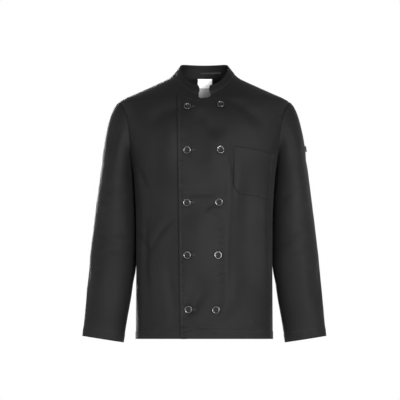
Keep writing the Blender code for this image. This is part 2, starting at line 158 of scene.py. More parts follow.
def read(table, key, by, at):
    """Read a table's column at any place: a cubic through its rows that never overshoots."""
    x = np.array(table[by], float)
    y = np.array(table[key], float)
    if x[0] > x[-1]:
        x, y = x[::-1], y[::-1]
    at = min(max(at, x[0]), x[-1])
    slope = np.diff(y) / np.diff(x)
    tangent = np.concatenate(([slope[0]], 0.5 * (slope[1:] + slope[:-1]), [slope[-1]]))
    for k in range(1, len(x) - 1):
        if slope[k - 1] * slope[k] <= 0.0:
            tangent[k] = 0.0
        else:
            limit = 3.0 * min(abs(slope[k - 1]), abs(slope[k]))
            tangent[k] = math.copysign(min(abs(tangent[k]), limit), tangent[k])
    k = min(int(np.searchsorted(x, at, side="right")) - 1, len(x) - 2)
    width = x[k + 1] - x[k]
    s = (at - x[k]) / width
    return float(
        (2 * s ** 3 - 3 * s ** 2 + 1) * y[k] + (s ** 3 - 2 * s ** 2 + s) * width * tangent[k]
        + (3 * s ** 2 - 2 * s ** 3) * y[k + 1] + (s ** 3 - s ** 2) * width * tangent[k + 1])


sections = {}


def section(height, side):
    """Half of the level oval: x, y and the length along it, zero in the middle."""
    key = (round(height, 3), side)
    if key not in sections:
        half_width = read(BODY, "half_width", "height", height)
        depth = read(BODY, "front_depth" if side == FRONT else "back_depth", "height", height)
        power = read(BODY, "squareness", "height", height)
        angle = np.linspace(-0.5 * math.pi, 0.5 * math.pi, 321)
        across, ahead = np.sin(angle), np.cos(angle)
        reach = (np.abs(across / half_width) ** power + np.abs(ahead / depth) ** power) ** (-1.0 / power)
        x, y = reach * across, side * reach * ahead
        along = np.concatenate(([0.0], np.cumsum(np.hypot(np.diff(x), np.diff(y)))))
        sections[key] = (x, y, along - 0.5 * along[-1])
    return sections[key]


def form(along, height, side):
    """Points of the form at one height, for one length along it or many."""
    x, y, lengths = section(height, side)
    along = np.asarray(along, float)
    return np.stack([np.interp(along, lengths, x), np.interp(along, lengths, y), np.full(along.shape, height)], -1)


def form_normal(along, height, side):
    """Outward directions of the form at one height."""
    along = np.asarray(along, float)
    step = 2.0
    across = form(along + step, height, side) - form(along - step, height, side)
    rise = form(along, height + step, side) - form(along, height - step, side)
    normal = np.cross(across, rise) * -side
    return normal / np.linalg.norm(normal, axis=-1, keepdims=True)


def along_at_x(x, height, side):
    xs, _, lengths = section(height, side)
    return float(np.interp(x, xs, lengths))


def along_at_depth(depth, height, side):
    _, y, lengths = section(height, side)
    far = lengths >= 0.0
    return float(np.interp(depth, np.abs(y[far])[::-1], lengths[far][::-1]))


def armhole_depth(height, side):
    reach = ARMHOLE_FRONT if side == FRONT else ARMHOLE_BACK
    rise = min(abs(height - ARM_MIDDLE) / ARM_HALF, 1.0)
    return reach * math.sqrt(1.0 - rise ** 2)


def panel_side(height, side):
    """Where a panel ends: at the side seam, the armhole or the shoulder seam."""
    depth = SEAM
    if UNDERARM < height < SHOULDER_TIP:
        depth = max(depth, armhole_depth(height, side))
    return along_at_depth(depth, height, side)


def neckline_x(height):
    return NECK_HALF_WIDTH * math.sqrt((height - NECK_FRONT) / (NAPE - NECK_FRONT))


def fade(value, start, stop):
    s = np.clip((np.asarray(value, float) - start) / (stop - start), 0.0, 1.0)
    return s * s * (3.0 - 2.0 * s)


print("hem girth", round(sum(section(0.0, side)[2][-1] * 2 for side in (FRONT, BACK))), "mm")

# %% Where the buttons are
def button_spot(node_name):
    """A button's place on the cloth: along the section, and its height."""
    low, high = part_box(node_name)
    middle = (low + high) * 0.5 / MM
    height = middle.z + NAPE
    return along_at_x(middle.x, height, FRONT), height


BUTTONS = sorted(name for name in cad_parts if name.startswith("button_"))
button_spots = {name: button_spot(name) for name in BUTTONS}
fastened_spots = [button_spots[name] for name in BUTTONS if "fastened" in name]
print("buttons", len(BUTTONS), "of which fastened", len(fastened_spots))

# %% [markdown]
# ## Creases
# Cloth that hangs from the shoulders keeps a few long soft folds. Each is one row of a table: a line
# across the cloth, its half width, and how far it stands out (plus) or sinks (minus).

# %% Creases placed one by one
FRONT_FOLDS = [
    # along, height -> along, height, half width, depth
    (-116, 335, -140, 100, 34, 7.8),
    (-84, 322, -168, 236, 11, -4.1),
    (-166, 340, -168, 60, 17, -5.1),
    (-100, 620, -96, 420, 26, 5.8),
    (-150, 560, -118, 390, 28, -7.1),
    (-205, 470, -130, 360, 17, -5.4),
    (-215, 300, -160, 215, 14, -3.7),
    (-60, 640, -165, 585, 22, -5.4),
    (-90, 190, -84, 20, 16, -4.4),
    (122, 470, 122, 100, 36, -11.0),
    (186, 420, 178, 140, 18, 5.1),
    (64, 520, 64, 60, 10, 2.7),
    (40, 40, 92, 190, 26, 5.4),
    (-4, 380, 0, 170, 46, 6.1),
    (-48, 56, -4, 160, 20, -7.8),
    (-30, 610, 50, 572, 24, -4.8),
    (70, 650, 170, 600, 20, -5.1),
    (20, 560, 34, 430, 30, 5.1),
    (-66, 402, 60, 398, 12, -2.7),
    (6, 346, 52, 340, 12, 3.1),
    (74, 540, 74, 384, 6, -3.1),
    (-36, 30, 60, 34, 9, 2.0),
    (120, 38, 175, 30, 10, 1.7),
    (-160, 40, -100, 34, 12, 2.0),
]
BACK_FOLDS = [
    (-205, 470, -100, 340, 20, -3.0),
    (205, 480, 110, 350, 19, -2.8),
    (-185, 430, -80, 290, 20, 2.4),
    (190, 400, 85, 270, 18, 2.6),
    (-70, 340, -98, 50, 28, 3.2),
    (52, 350, 85, 40, 26, -3.0),
    (135, 310, 155, 50, 24, 2.8),
    (-150, 300, -165, 40, 20, -2.6),
    (-150, 640, 20, 600, 24, -1.8),
    (150, 648, 10, 592, 22, 1.6),
    (-10, 300, 8, 70, 30, 2.4),
    (-60, 560, -40, 420, 34, -2.0),
    (90, 560, 66, 430, 30, 1.8),
]


def folds(table, along, height):
    """Sum of the table's soft ridges and troughs at these places."""
    total = np.zeros(np.broadcast(along, height).shape)
    for a0, h0, a1, h1, half_width, depth in table:
        run = math.hypot(a1 - a0, h1 - h0)
        da, dh = (a1 - a0) / run, (h1 - h0) / run
        down = ((along - a0) * da + (height - h0) * dh) / run
        off = (along - a0) * dh - (height - h0) * da + 6.0 * np.sin(down * 4.0 + a0)
        taper = fade(down, -0.15, 0.3) * (1.0 - fade(down, 0.6, 1.2))
        total = total + depth * taper * np.exp(-(off / (half_width * (0.8 + 0.5 * down ** 2))) ** 2)
    return total


def ripple(along, height, seed, size, depth):
    """Small irregular waves, the same each time."""
    a, h = np.asarray(along, float) / size, np.asarray(height, float) / size
    return depth * (
        np.sin(a * 1.7 + h * 0.9 + seed) * np.sin(h * 1.3 - a * 0.6 + 2.1 * seed)
        + 0.5 * np.sin(a * 3.1 - h * 2.3 + 1.3 * seed) * np.sin(h * 2.9 + a * 1.1 + 0.7 * seed))


def pull(along, height):
    """Each button's thread draws the cloth in, and a fastened one puckers it along its buttonhole."""
    total = np.zeros(np.broadcast(along, height).shape)
    for name, (a, h) in button_spots.items():
        right, up = along - a, height - h
        reach = np.hypot(right, up)
        deep = (0.9, 0.8, 1.3, 1.2, 1.5)[int(name[-1]) - 1] if "fastened" in name else 0.8
        total = total - deep * (1.3 * (1.0 - fade(reach, 9.5, 14.5)) + 0.6 * np.exp(-(reach / 26.0) ** 2))
        if "fastened" in name:
            total = total + 0.7 * np.exp(-((up - 7.0 - 0.12 * right) / 3.6) ** 2 - ((right - 12.0) / 15.0) ** 2)
            total = total - 0.7 * np.exp(-((up + 6.5 + 0.1 * right) / 3.2) ** 2 - ((right + 9.0) / 13.0) ** 2)
            total = total + 0.6 * np.exp(-((up + 1.0 - 0.3 * right) / 3.0) ** 2 - ((right + 19.0) / 7.0) ** 2)
    return total


def front_relief(along, height):
    """Along is signed here: plus is the wearer's left."""
    low = 1.0 - fade(height, 640.0, 700.0)
    return low * (folds(FRONT_FOLDS, along, height) + ripple(along, height, 1.0, 44.0, 0.35)) + pull(along, height)


def back_relief(along, height):
    low = 1.0 - fade(height, 650.0, 720.0)
    return low * (1.5 * folds(BACK_FOLDS, along, height) + ripple(along, height, 2.0, 44.0, 0.35))


# %% [markdown]
# ## Cloth pieces
# A piece is a grid of points with its own cut as UV map, in metres, so the weave follows the thread.
# Solidify then gives the wall, on the outer side of the form, as in the solids.

# %% Making a piece of cloth
def to_frame(points):
    points = np.asarray(points, float).reshape(-1, 3) * MM
    points[:, 2] -= NAPE * MM
    return points


def grid_faces(rows, columns, flip=False, wrap=False):
    faces = []
    for r in range(rows - 1):
        for c in range(columns if wrap else columns - 1):
            right = (c + 1) % columns
            quad = (r * columns + c, r * columns + right, (r + 1) * columns + right, (r + 1) * columns + c)
            faces.append(quad[::-1] if flip else quad)
    return faces


def cloth_piece(name, points, faces, cut, wall, finish):
    """Points in millimetres, cut places in millimetres, and the wall's thickness."""
    mesh = bpy.data.meshes.new(name)
    mesh.from_pydata(to_frame(points).tolist(), [], faces)
    cut = np.asarray(cut, float).reshape(-1, 2) * MM
    loops = np.zeros(len(mesh.loops), int)
    mesh.loops.foreach_get("vertex_index", loops)
    layer = mesh.uv_layers.new(name="cut")
    layer.data.foreach_set("uv", cut[loops].ravel())
    mesh.shade_smooth()
    mesh.materials.append(finish)
    piece = bpy.data.objects.new(name, mesh)
    bpy.context.scene.collection.objects.link(piece)
    if wall:
        shell = piece.modifiers.new("wall", "SOLIDIFY")
        shell.thickness = wall * MM
        shell.offset = 1.0
        apply_modifiers(piece)
    return piece


EDGE_STEPS = (0.0, 0.8, 1.9, 3.4)


def columns_between(start, stop, count, fine_start=True, fine_stop=True):
    """Places across a panel, with fine columns next to a sewn edge."""
    first = [start + step for step in EDGE_STEPS] if fine_start else [start]
    last = [stop - step for step in EDGE_STEPS[::-1]] if fine_stop else [stop]
    inner = np.linspace(first[-1], last[0], count + 3 - len(first) - len(last))
    return np.concatenate([first, inner[1:-1], last])


def seam_roll(distance):
    """Cloth dips into a sewn seam over its last few millimetres."""
    return -0.75 * np.exp(-(np.asarray(distance, float) / 1.6) ** 2) + 0.25 * np.exp(
        -((np.asarray(distance, float) - 4.5) / 2.5) ** 2)


def apply_modifiers(piece):
    bpy.ops.object.select_all(action="DESELECT")
    piece.select_set(True)
    bpy.context.view_layer.objects.active = piece
    for modifier in list(piece.modifiers):
        bpy.ops.object.modifier_apply(modifier=modifier.name)
    piece.select_set(False)


def cloth_area(piece):
    """Half of the closed shell's surface, in square metres: one face of the cloth."""
    return 0.5 * sum(face.area for face in piece.data.polygons)


def keep(piece, slot, *nodes):
    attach(piece, "root")
    if nodes:
        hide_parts(*nodes)
    return piece


# %% [markdown]
# ## The cloth's finish
# Poly-cotton twill is woven so that fine ribs run across it at a slant. The ribs are a bump on the
# cut's own coordinates. Soft clouds of lighter and darker black keep a large panel from looking dead,
# and sheen gives the pale bloom of brushed cotton where the cloth turns away.

# %% Twill
def node(tree, kind, **settings):
    made = tree.nodes.new(kind)
    for key, value in settings.items():
        setattr(made, key, value)
    return made


def math_node(tree, operation, first, second=None):
    made = node(tree, "ShaderNodeMath", operation=operation)
    for socket, value in zip(made.inputs, (first, second)):
        if value is None:
            continue
        if isinstance(value, (int, float)):
            socket.default_value = value
        else:
            tree.links.new(value, socket)
    return made.outputs[0]


def twill(name, dark, light, rib=0.75, roughness=0.78, sheen=0.25, gloss=0.12):
    """A woven cloth; rib is the twill line's spacing in millimetres."""
    made = bpy.data.materials.new(name)
    made.use_nodes = True
    tree = made.node_tree
    shader = tree.nodes["Principled BSDF"]
    shader.inputs["Sheen Weight"].default_value = sheen
    shader.inputs["Sheen Roughness"].default_value = 0.45
    shader.inputs["Specular IOR Level"].default_value = gloss
    cut = node(tree, "ShaderNodeUVMap", uv_map="cut")
    split = node(tree, "ShaderNodeSeparateXYZ")
    tree.links.new(cut.outputs["UV"], split.inputs[0])
    turn = 2.0 * math.pi / (rib * MM)
    slant = math_node(tree, "ADD", split.outputs[0], math_node(tree, "MULTIPLY", split.outputs[1], 0.62))
    ribs = math_node(tree, "SINE", math_node(tree, "MULTIPLY", slant, turn))
    yarn = math_node(tree, "SINE", math_node(tree, "MULTIPLY", split.outputs[1], turn * 1.9))
    weave = math_node(tree, "ADD", ribs, math_node(tree, "MULTIPLY", yarn, 0.4))

    place = node(tree, "ShaderNodeTexCoord")
    clouds = node(tree, "ShaderNodeTexNoise")
    clouds.inputs["Scale"].default_value = 9.0
    clouds.inputs["Detail"].default_value = 3.0
    tree.links.new(place.outputs["Object"], clouds.inputs["Vector"])
    fibres = node(tree, "ShaderNodeTexNoise")
    fibres.inputs["Scale"].default_value = 900.0
    fibres.inputs["Detail"].default_value = 2.0
    tree.links.new(place.outputs["Object"], fibres.inputs["Vector"])

    tone = math_node(tree, "ADD", math_node(tree, "MULTIPLY", clouds.outputs["Fac"], 0.7),
                     math_node(tree, "MULTIPLY", fibres.outputs["Fac"], 0.3))
    tone = math_node(tree, "ADD", tone, math_node(tree, "MULTIPLY", weave, 0.06))
    ramp = node(tree, "ShaderNodeValToRGB")
    ramp.color_ramp.elements[0].position = 0.3
    ramp.color_ramp.elements[0].color = (*dark, 1.0)
    ramp.color_ramp.elements[1].position = 0.7
    ramp.color_ramp.elements[1].color = (*light, 1.0)
    tree.links.new(tone, ramp.inputs["Fac"])
    tree.links.new(ramp.outputs["Color"], shader.inputs["Base Color"])

    rough = math_node(tree, "ADD", math_node(tree, "MULTIPLY", fibres.outputs["Fac"], 0.12), roughness - 0.06)
    tree.links.new(rough, shader.inputs["Roughness"])
    height = math_node(tree, "ADD", weave, math_node(tree, "MULTIPLY", fibres.outputs["Fac"], 0.8))
    bump = node(tree, "ShaderNodeBump")
    bump.inputs["Strength"].default_value = 0.35
    bump.inputs["Distance"].default_value = 0.0001
    tree.links.new(height, bump.inputs["Height"])
    tree.links.new(bump.outputs["Normal"], shader.inputs["Normal"])
    return made


BLACK_TWILL = twill("black_twill", (0.0028, 0.0028, 0.0029), (0.0048, 0.0048, 0.0049), roughness=0.60, sheen=0.02, gloss=0.07)
# The collar's twill is a darker copy of the body's twill: painted shade, for the shade that falls inside the neck.
COLLAR_SHADE_TWILL = twill("collar_painted_shade_twill", (0.0022, 0.0022, 0.0023), (0.0038, 0.0038, 0.0039), roughness=0.58, sheen=0.02, gloss=0.06)
BLACK_TAPE = twill("black_tape", (0.012, 0.012, 0.0125), (0.020, 0.020, 0.021), rib=0.5, sheen=0.05)
WHITE_TAPE = twill("white_tape", (0.95, 0.95, 0.94), (1.0, 1.0, 0.99), rib=0.35, sheen=0.05)
# The size label's tape is a grey copy of the white tape: painted shade, for the shade it hangs in inside the back of
# the neck.
LABEL_SHADE_TAPE = twill("label_painted_shade_tape", (0.50, 0.50, 0.50), (0.72, 0.72, 0.72), rib=0.35, sheen=0.05)

# %% [markdown]
# ## Back
# One panel from hem to nape. Its rows are level, and each ends at the side seam, the armhole or the
# shoulder seam.

# %% Back panel
HEM = 23.0                 # depth of the turned hem


def arm_rows(steps):
    return [ARM_MIDDLE - ARM_HALF * math.cos(math.pi * k / steps) for k in range(1, steps + 1)]


def hem_relief(height, depth=HEM):
    """The doubled hem stands a little proud, with a groove at its stitch line."""
    height = np.asarray(height, float)
    return 0.9 * (1.0 - fade(height, depth - 1.0, depth + 2.5)) - 0.9 * np.exp(-((height - depth) / 1.6) ** 2)


low_rows = list(np.linspace(0.0, 36.0, 25)) + list(np.linspace(36.0, UNDERARM, 150))[1:]
ARM_STEPS = 48
BACK_COLUMNS = 132
rows = low_rows + arm_rows(ARM_STEPS) + list(np.linspace(SHOULDER_TIP, NAPE, 26))[1:]
points, cut = [], []
for height in rows:
    end = panel_side(height, BACK)
    along = columns_between(-end, end, BACK_COLUMNS)
    off = back_relief(along, height) * fade(end - np.abs(along), 8.0, 60.0) + hem_relief(height)
    off = off + seam_roll(end - np.abs(along))
    points.append(form(along, height, BACK) + form_normal(along, height, BACK) * off[:, None])
    cut.append(np.stack([along, np.full(along.shape, height)], -1))
back = cloth_piece("back_panel", points, grid_faces(len(rows), BACK_COLUMNS + 1, flip=True), cut, CLOTH, BLACK_TWILL)
keep(back, "twill", "back")
print("back", len(back.data.polygons), "faces", round(cloth_area(back), 3), "m2")

# %% [markdown]
# ## Fronts
# The wearer's left front laps over the right one, well past the middle. Its grid has a lap and a body:
# at the neck only the body goes on, up to the shoulder seam. The under front is the same in the other
# hand, with a straight edge under the lap, which shows through as a faint step.

# %% Fronts
LAP_JOIN = 20.0
UNDER_REACH = 65.0
UPPER_EDGE = {"height": (0, 250, 640, 680), "reach": (66, 68.5, 75.5, 77)}
UPPER_LAP_TOP = {"along": (-77, -58, -44, -22, 0, 14, 20), "height": (673, 671, 665, 657.5, 661, 665, 672.7)}
UNDER_LAP_TOP = {"along": (-65, -45, -20, 0, 14, 20), "height": (655, 655, 656, 660, 664.5, 672.7)}
UPPER, UNDER = 1, -1
EDGE_STITCH = 7.0          # distance of the topstitching from the free edge


def lift(along, height):
    """How far the upper front stands off the form, over the under front."""
    return LAP_RAISE * (1.0 - fade(along, *LAP_FADE)) * (1.0 - fade(height, *LAP_FADE_UP))


def free_edge(row, hand):
    return -read(UPPER_EDGE, "reach", "height", row) if hand == UPPER else -UNDER_REACH


def edge_relief(along, row, hand):
    """Puckers between the free edge and its stitching, and the groove of the stitching."""
    if hand == UNDER:
        return np.zeros(along.shape)
    inside = along - free_edge(row, hand)
    groove = -0.55 * np.exp(-((inside - EDGE_STITCH) / 1.4) ** 2)
    swell = 0.35 * np.exp(-((inside - 3.2) / 2.6) ** 2)
    wave = math.sin(row * 0.54) + 0.7 * math.sin(row * 0.71 + 1.7) + 0.5 * math.sin(row * 0.93 + 0.6)
    strength = 0.35 + 0.65 * (0.5 + 0.5 * math.sin(row * 0.031 + 2.0))
    below = float(1.0 - fade(row, 560.0, 620.0))
    return groove + swell + 1.0 * wave * strength * below * np.exp(-((inside - 10.0) / 8.0) ** 2)


def under_step(along, row):
    """The under front's free edge shows as a faint step, with puckers in its lower half."""
    bulk = float(fade(row, 60.0, 140.0) * (1.0 - fade(row, 480.0, 530.0)))
    step = 1.4 * bulk * (1.0 - fade(along, UNDER_REACH - 6.0, UNDER_REACH + 5.0))
    wave = np.sin(row * 0.52 + along * 0.16) + 0.6 * np.sin(row * 0.83 + 2.6)
    here = float(fade(row, 110.0, 170.0) * (1.0 - fade(row, 300.0, 340.0)))
    return step + 1.3 * wave * here * np.exp(-((along - 45.0) / 9.0) ** 2)


def front_off(along, row, height, hand, side=None):
    """All that moves a front off the form, along its normal."""
    side = panel_side(row, FRONT) if side is None else side
    off = front_relief(along * hand, height) * fade(side - along, 8.0, 60.0) + hem_relief(row)
    off = off + edge_relief(along, row, hand) + seam_roll(side - along)
    if hand == UPPER:
        off = off + lift(along, height) + under_step(along, row) * (1.0 - fade(height, 600.0, 660.0))
    return off


def lap_height(along, row, hand):
    """Rows bend towards the neck so that the last one is the lap's top edge."""
    top = UPPER_LAP_TOP if hand == UPPER else UNDER_LAP_TOP
    rise = read(top, "height", "along", along) - SHOULDER_TIP
    beyond = 1.0 - float(fade(along, LAP_JOIN, LAP_JOIN + 60.0))
    return row + rise * beyond * float(fade(row, ARM_MIDDLE, SHOULDER_TIP))


LAP_COLUMNS = 44
BODY_COLUMNS = 74


def front_row(along, row, hand, bent):
    if bent:
        heights = [lap_height(a, row, hand) for a in along]
        base = np.array([form(a, h, FRONT) for a, h in zip(along, heights)])
        normal = np.array([form_normal(a, h, FRONT) for a, h in zip(along, heights)])
        heights = np.array(heights)
    else:
        base = form(along, row, FRONT)
        normal = form_normal(along, row, FRONT)
        heights = np.full(along.shape, row)
    made = base + normal * front_off(along, row, heights, hand)[:, None]
    made[:, 0] *= hand
    return made, np.stack([along, heights], -1)


def make_front(name, hand):
    low = low_rows + arm_rows(ARM_STEPS)
    high = list(np.linspace(SHOULDER_TIP, 739.4, 30))[4:]
    columns = LAP_COLUMNS + BODY_COLUMNS + 1
    points, cut = [], []
    for row in low:
        lap = np.linspace(free_edge(row, hand), LAP_JOIN, LAP_COLUMNS + 1)
        body = columns_between(LAP_JOIN, panel_side(row, FRONT), BODY_COLUMNS, fine_start=False)
        made, places = front_row(np.concatenate([lap[:-1], body]), row, hand, row > ARM_MIDDLE)
        points.append(made)
        cut.append(places)
    faces = grid_faces(len(low), columns, flip=hand == UNDER)
    below = (len(low) - 1) * columns + LAP_COLUMNS
    base = len(low) * columns
    for row in high:
        start = along_at_x(neckline_x(row), row, FRONT)
        along = columns_between(start, panel_side(row, FRONT), BODY_COLUMNS, fine_start=False)
        made, places = front_row(along, row, hand, False)
        points.append(made)
        cut.append(places)
        for c in range(BODY_COLUMNS):
            quad = (below + c, below + c + 1, base + c + 1, base + c)
            faces.append(quad[::-1] if hand == UNDER else quad)
        below = base
        base += BODY_COLUMNS + 1
    return cloth_piece(name, np.concatenate(points), faces, np.concatenate(cut), CLOTH, BLACK_TWILL)


front_upper = keep(make_front("upper_front", UPPER), "twill", "front_upper")
front_under = keep(make_front("under_front", UNDER), "twill", "front_under")
print("fronts", round(cloth_area(front_upper), 3), round(cloth_area(front_under), 3), "m2")

# %% [markdown]
# ## Stand collar
# A doubled band rises from the neck seam and leans in a little. Its two front ends are rounded and
# stop short of each other.

# %% Collar
COLLAR_CLOTH = 2.0
COLLAR_TOP = {"half_width": 69.0, "front": 80.0, "back": 61.0}
COLLAR_HEIGHT = {"front": 700.0, "side": 758.0, "back": 777.0}
COLLAR_LIFT = 0.3
COLLAR_END_BULGE = 6.0


def seam_point(turn):
    """The neck seam by the angle round the neck, 0 at the front."""
    across = math.sin(turn)
    hand = 1 if across >= 0 else -1
    if math.cos(turn) >= 0.0:
        height = NECK_FRONT + (NAPE - NECK_FRONT) * across ** 2
        along = along_at_x(abs(across) * NECK_HALF_WIDTH, height, FRONT)
        off = float(lift(along, height)) if hand == UPPER else 0.0
        point = form(along, height, FRONT) + off * form_normal(along, height, FRONT)
        return point * np.array([hand, 1.0, 1.0])
    return form(along_at_x(across * NECK_HALF_WIDTH, NAPE, BACK), NAPE, BACK)


def collar_top(turn):
    across, ahead = math.sin(turn), math.cos(turn)
    if ahead >= 0.0:
        height = COLLAR_HEIGHT["front"] + (COLLAR_HEIGHT["side"] - COLLAR_HEIGHT["front"]) * abs(across) ** 3
        depth = COLLAR_TOP["front"]
    else:
        level = 1.08 * ahead ** 2 / (ahead ** 2 + 0.08)
        height = COLLAR_HEIGHT["side"] + (COLLAR_HEIGHT["back"] - COLLAR_HEIGHT["side"]) * level
        depth = COLLAR_TOP["back"]
    return np.array([COLLAR_TOP["half_width"] * across, -depth * ahead, height])


def collar_point(turn, rise):
    foot, top = seam_point(turn), collar_top(turn)
    up = (top - foot) / np.linalg.norm(top - foot)
    return foot + up * COLLAR_LIFT + (top - foot - up * COLLAR_LIFT) * rise


COLLAR_COLUMNS = 200
COLLAR_ROWS = 22
end_turn = math.asin(LAP_JOIN / NECK_HALF_WIDTH)
bulge = COLLAR_END_BULGE / NECK_HALF_WIDTH
points, cut = [], []
for k in range(COLLAR_ROWS + 1):
    rise = k / COLLAR_ROWS
    swell = bulge * (1.0 - (2.0 * rise - 1.0) ** 2)
    turns = np.linspace(end_turn - swell, 2.0 * math.pi - end_turn + swell, COLLAR_COLUMNS + 1)
    row = np.array([collar_point(turn, rise) for turn in turns])
    outward = np.stack([np.sin(turns), -np.cos(turns), np.full(turns.shape, 0.25)], -1)
    bow = 1.2 * math.sin(math.pi * rise) + ripple(turns * 70.0, rise * 30.0, 4.0, 16.0, 0.3)
    bow = bow - 0.4 * np.exp(-((rise - 0.84) / 0.05) ** 2) - 0.3 * np.exp(-((rise - 0.1) / 0.05) ** 2)
    points.append(row + outward * np.asarray(bow)[:, None])
    cut.append(np.stack([turns * 75.0, np.full(turns.shape, rise * 32.0)], -1))
# The collar wears the darker twill, which is painted shade.
collar = cloth_piece(
    "stand_collar", points, grid_faces(COLLAR_ROWS + 1, COLLAR_COLUMNS + 1), cut, COLLAR_CLOTH, COLLAR_SHADE_TWILL)
keep(collar, "twill", "collar")
print("collar", round(cloth_area(collar), 4), "m2")

# %% [markdown]
# ## Sleeves
# A set-in sleeve starts as the armhole's own ring, rolls over the shoulder and hangs beside the body.
# Each point of the armhole runs to the upper arm on its own cubic; below that the sleeve is a stack
# of tilted ovals down to the cuff.

# %% Sleeves
SLEEVE = {
    "height":     (430, 360, 285, 205, 135, 65, -0.5),
    "centre_x":   (248.5, 250.8, 253.6, 257.8, 264.6, 273.3, 281.4),
    "half_width": (45.5, 52.0, 57.6, 62.0, 61.4, 58.2, 56.0),
    "centre_y":   (8, 8, 7, 5, 1, -4, -9),
    "half_depth": (78, 72, 65, 58, 50, 43, 36),
    "tilt":       (14, 12, 10, 9, 9, 9, 9),
}
AROUND = 2 * ARM_STEPS
CAP_RINGS = 52
SLEEVE_GAP = 0.15
SLEEVE_FOLDS = [
    # turn in degrees, 0 outside and 90 in front; height -> turn, height; half width, depth
    (62, 420, 140, 378, 11, -2.6),
    (40, 384, 130, 345, 11, 2.0),
    (50, 300, 150, 262, 12, -2.8),
    (20, 330, 100, 300, 12, -1.8),
    (30, 255, 140, 235, 11, 2.0),
    (80, 200, 10, 165, 13, -1.8),
    (-20, 520, 40, 470, 16, -2.0),
    (70, 580, 95, 470, 13, -2.4),
    (40, 560, 60, 500, 12, 1.8),
    (70, 250, 88, 60, 20, 2.2),
    (20, 220, 35, 60, 18, -2.0),
    (-60, 330, -150, 290, 13, -2.6),
    (-50, 250, -140, 215, 13, 2.0),
    (-80, 560, -110, 460, 13, -2.4),
    (15, 130, 80, 100, 16, -1.4),
    (-20, 90, -90, 60, 15, 1.4),
]


def armhole_seam():
    seam = []
    for k in range(AROUND):
        turn = 2.0 * math.pi * k / AROUND
        side = FRONT if 2 * k <= AROUND else BACK
        height = ARM_MIDDLE + ARM_HALF * math.cos(turn)
        along = along_at_depth(armhole_depth(height, side), height, side)
        seam.append((form(along, height, side), form_normal(along, height, side)))
    return seam


def sleeve_ring(height):
    value = {key: read(SLEEVE, key, "height", height) for key in SLEEVE if key != "height"}
    tilt = math.radians(value["tilt"])
    turn = 2.0 * math.pi * np.arange(AROUND) / AROUND
    out = value["half_width"] * np.cos(turn)
    return np.stack([
        value["centre_x"] + out * math.cos(tilt),
        value["centre_y"] - value["half_depth"] * np.sin(turn),
        height + out * math.sin(tilt)], -1)


def sleeve_cap():
    seam = armhole_seam()
    target = sleeve_ring(SLEEVE["height"][0])
    centre = np.mean([p for p, _ in seam], axis=0)
    starts, leaves, arrives = [], [], []
    for k, (point, normal) in enumerate(seam):
        turn = 2.0 * math.pi * k / AROUND
        span = np.linalg.norm(target[k] - point)
        leave = np.array([1.0, 0.0, -0.36 * max(0.0, math.cos(turn))])
        leave /= np.linalg.norm(leave)
        outward = np.cross(leave, seam[(k + 1) % AROUND][0] - seam[k - 1][0])
        outward /= np.linalg.norm(outward)
        if np.dot(outward, point - centre) < 0.0:
            outward = -outward
        towards_panel = point - centre
        towards_panel -= normal * np.dot(towards_panel, normal)
        towards_panel /= np.linalg.norm(towards_panel)
        clear = SLEEVE_GAP + CLOTH * max(0.0, float(np.dot(outward, towards_panel)))
        starts.append(point - towards_panel * clear)
        leaves.append(leave * max(40.0, 0.45 * span))
        arrives.append(np.array([0.1, 0.0, -1.0]) * 1.08 * span)
    starts, leaves, arrives = np.array(starts), np.array(leaves), np.array(arrives)
    rings = []
    for r in range(CAP_RINGS):
        s = (r / CAP_RINGS) ** 1.5
        rings.append(
            (2 * s ** 3 - 3 * s ** 2 + 1) * starts + (s ** 3 - 2 * s ** 2 + s) * leaves
            + (3 * s ** 2 - 2 * s ** 3) * target + (s ** 3 - s ** 2) * arrives)
    return rings


def sleeve_relief(ring, number, seed):
    """Folds read by the angle round the sleeve, as a length, and the height."""
    turn = np.degrees(2.0 * math.pi * np.arange(AROUND) / AROUND)
    turn = np.where(turn > 180.0, turn - 360.0, turn)
    height = ring[:, 2]
    table = [(a0 * 1.2, h0, a1 * 1.2, h1, w, d) for a0, h0, a1, h1, w, d in SLEEVE_FOLDS]
    off = folds(table, turn * 1.2 + seed, height)
    off = off + ripple(60.0 * np.cos(np.radians(turn)) + seed, height, 3.0 + seed, 40.0, 0.3)
    off = off * (1.0 - fade(np.abs(turn), 125.0, 168.0))
    return off * float(fade(number, 2.0, 16.0))


BODY_CLEAR = 0.3           # what stays open between a sleeve and the side of the body
NEST_FROM, NEST_TO = 150.0, 215.0


def nest(ring):
    """The sleeve's inner side lies against the body, down to where the two part."""
    x, _, height = ring[AROUND // 2]
    if height > UNDERARM:
        return ring
    beside = read(BODY, "half_width", "height", height) + 2.0 * CLOTH + BODY_CLEAR
    gap = max(0.0, x - beside) * float(fade(height, NEST_FROM, NEST_TO))
    turn = 2.0 * math.pi * np.arange(AROUND) / AROUND
    moved = ring.copy()
    moved[:, 0] -= gap * fade(-np.cos(turn), 0.1, 0.95)
    return moved


